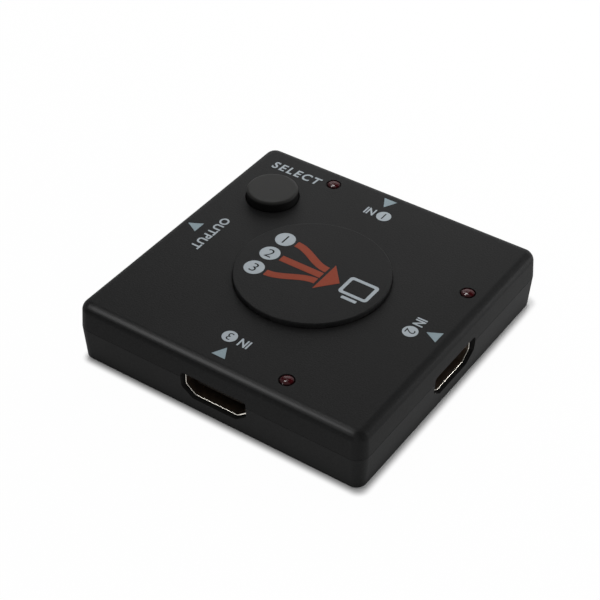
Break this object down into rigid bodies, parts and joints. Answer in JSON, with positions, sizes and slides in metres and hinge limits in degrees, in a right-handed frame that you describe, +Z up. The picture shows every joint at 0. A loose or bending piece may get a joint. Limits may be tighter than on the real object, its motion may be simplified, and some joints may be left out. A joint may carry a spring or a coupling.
{
  "type": "video switch box",
  "caption": "Small square video switch box with a socket in each side, a round select button, indicator lights and a raised disc on its flat top.",
  "frame": {"origin": "on the resting surface, under the middle of the square case", "axes": "+Z up out of the top, -Y out of the side of input 3, +X out of the side of input 2, -X out of the output side"},
  "size_m": [0.066, 0.066, 0.0157],
  "materials": {
    "case_plastic": "black moulded plastic with a fine matte texture",
    "disc_plastic": "black moulded plastic with a fine matte texture",
    "button_plastic": "smooth satin black plastic",
    "socket_metal": "bright nickel-plated sheet",
    "socket_plastic": "black moulded plastic",
    "contact_metal": "thin gold plating",
    "led_lens": "clear dark red epoxy, unlit",
    "board": "green solder mask",
    "chip_plastic": "black moulding compound",
    "ceramic": "tan ceramic",
    "tinned_metal": "tin-plated or zinc-plated metal"
  },
  "bodies": {
    "case": {"badge_disc": "disc_plastic", "bottom_cover": "case_plastic", "case_screws": "tinned_metal", "chip_capacitors": "ceramic", "chip_resistors": "chip_plastic", "circuit_board": "board", "control_chip": "chip_plastic", "control_chip_leads": "tinned_metal", "input_1_contacts": "contact_metal", "input_1_insulator": "socket_plastic", "input_1_shell": "socket_metal", "input_2_contacts": "contact_metal", "input_2_insulator": "socket_plastic", "input_2_shell": "socket_metal", "input_3_contacts": "contact_metal", "input_3_insulator": "socket_plastic", "input_3_shell": "socket_metal", "led_1_leads": "tinned_metal", "led_1_lens": "led_lens", "led_2_leads": "tinned_metal", "led_2_lens": "led_lens", "led_3_leads": "tinned_metal", "led_3_lens": "led_lens", "output_contacts": "contact_metal", "output_insulator": "socket_plastic", "output_shell": "socket_metal", "regulator_leads": "tinned_metal", "routing_chip": "chip_plastic", "routing_chip_leads": "tinned_metal", "supply_diodes": "chip_plastic", "switch_cover_plate": "tinned_metal", "switch_dome": "tinned_metal", "switch_housing": "chip_plastic", "switch_terminals": "tinned_metal", "top_cover": "case_plastic", "voltage_regulator": "chip_plastic"},
    "button": {"select_button": "button_plastic", "switch_plunger": "button_plastic"}
  },
  "joints": [
    {"name": "select_press", "type": "slide", "parent": "case", "child": "button", "axis": [0, 0, -1], "range_m": [0, 0.0003], "stiffness_N_per_m": 2500, "springref_m": -0.0004, "deforming": ["switch_dome"]}
  ]
}
